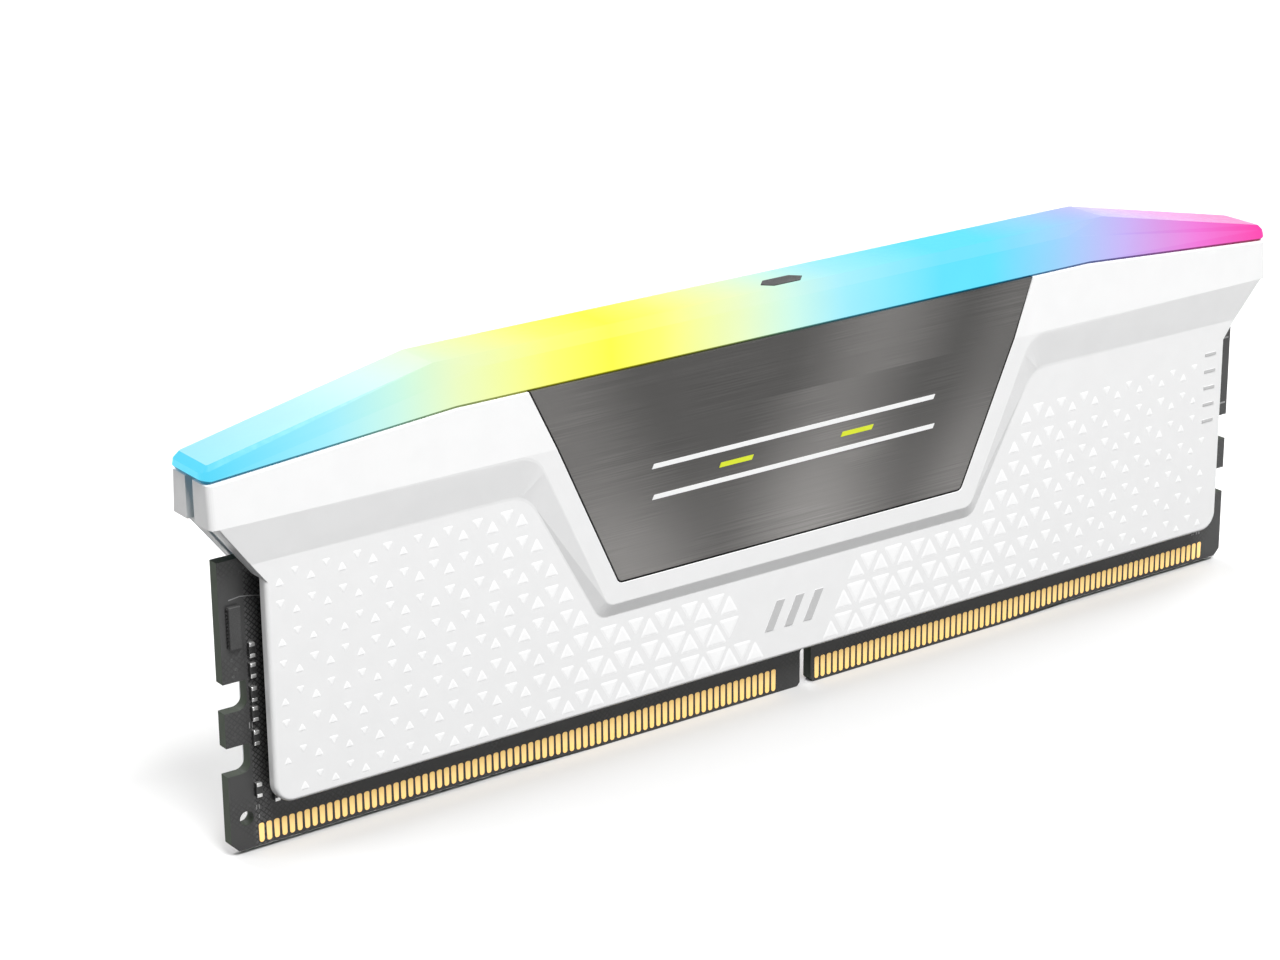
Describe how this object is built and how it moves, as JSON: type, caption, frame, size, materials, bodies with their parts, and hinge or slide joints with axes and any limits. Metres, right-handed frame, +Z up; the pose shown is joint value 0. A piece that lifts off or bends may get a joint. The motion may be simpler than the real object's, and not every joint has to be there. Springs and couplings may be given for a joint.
{
  "type": "memory module",
  "caption": "Desktop computer memory module: black circuit board with gold edge contacts in a white two-shell heat spreader, with dark brushed plates and a glowing light bar on top.",
  "frame": {"origin": "level with the lowest part of the circuit board's lower edge, halfway along and halfway through the module", "axes": "+X along the module to the right seen from the front, +Z up from the edge contacts to the light bar, -Y out of the front face"},
  "size_m": [0.138, 0.0076, 0.0463],
  "materials": {
    "board_black": "black solder mask over a fine weave, greenish on the cut edges",
    "contact_gold": "polished gold plating",
    "chip_black": "moulded black epoxy",
    "coil_grey": "pressed ferrite",
    "part_silver": "tinned ends on ceramic",
    "emitter_white": "white package",
    "pad_grey": "soft silicone",
    "spreader_white": "smooth white powder coat",
    "plate_dark": "dark anodised, brushed lengthways",
    "glue_film": "thin adhesive film",
    "mark_white": "white print",
    "mark_yellow": "yellow print",
    "mark_grey": "grey print",
    "guide_clear": "clear acrylic",
    "bar_diffuser": "milky translucent plastic, lit from inside in a row of colours",
    "badge_dark": "dark print"
  },
  "bodies": {
    "root": {"circuit_board": "board_black", "front_contacts": "contact_gold", "rear_contacts": "contact_gold", "memory_chips": "chip_black", "power_chip": "chip_black", "power_inductors": "coil_grey", "hub_chip": "chip_black", "side_chip": "chip_black", "light_controller": "chip_black", "light_emitters": "emitter_white", "capacitors": "part_silver", "edge_resistors": "part_silver", "memory_pads": "pad_grey", "power_pad": "pad_grey", "rear_pad": "pad_grey", "front_spreader": "spreader_white", "rear_spreader": "spreader_white", "front_plate_glue": "glue_film", "rear_plate_glue": "glue_film", "front_plate": "plate_dark", "rear_plate": "plate_dark", "front_stripes": "mark_white", "rear_stripes": "mark_white", "front_dashes": "mark_yellow", "rear_dashes": "mark_yellow", "front_print": "mark_grey", "rear_print": "mark_grey", "light_guide": "guide_clear", "light_bar": "bar_diffuser", "bar_badge": "badge_dark"}
  },
  "joints": []
}
